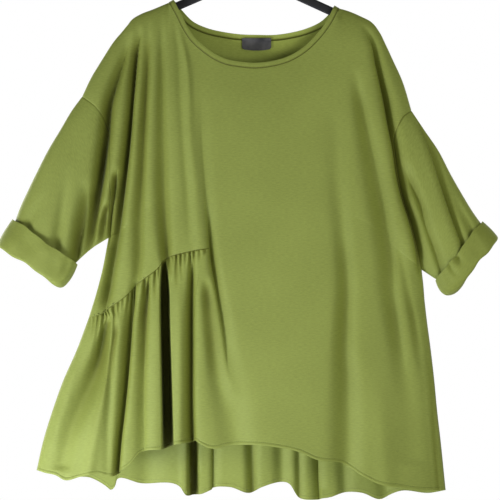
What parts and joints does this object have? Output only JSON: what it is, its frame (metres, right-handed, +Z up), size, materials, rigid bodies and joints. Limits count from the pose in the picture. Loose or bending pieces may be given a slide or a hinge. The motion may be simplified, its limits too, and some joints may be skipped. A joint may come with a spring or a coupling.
{
  "type": "tunic top on a hanger",
  "caption": "Wide loose jersey tunic with a wide bound neck, dropped turned-up sleeves, a gathered lower-left inset and a longer back, hanging flat on a slim bar hanger.",
  "frame": {"origin": "where the hanger's hook bears on its rod, in the middle of the hanger", "axes": "+Z up, the garment's front towards -Y, its left side as seen from the front towards -X"},
  "size_m": [0.8765, 0.1186, 0.9908],
  "materials": {
    "jersey": "olive green viscose jersey, matte with a soft sheen",
    "label_satin": "grey satin ribbon, blank",
    "hanger_black": "matte black",
    "hook_wire": "black steel wire"
  },
  "bodies": {
    "root": {"front_panel": "jersey", "gathered_inset": "jersey", "back_panel": "jersey", "sleeve_left": "jersey", "sleeve_right": "jersey", "cuff_left": "jersey", "cuff_right": "jersey", "neck_band": "jersey", "label_blank": "label_satin", "hanger_bar": "hanger_black", "hanger_hook": "hook_wire"}
  },
  "joints": []
}
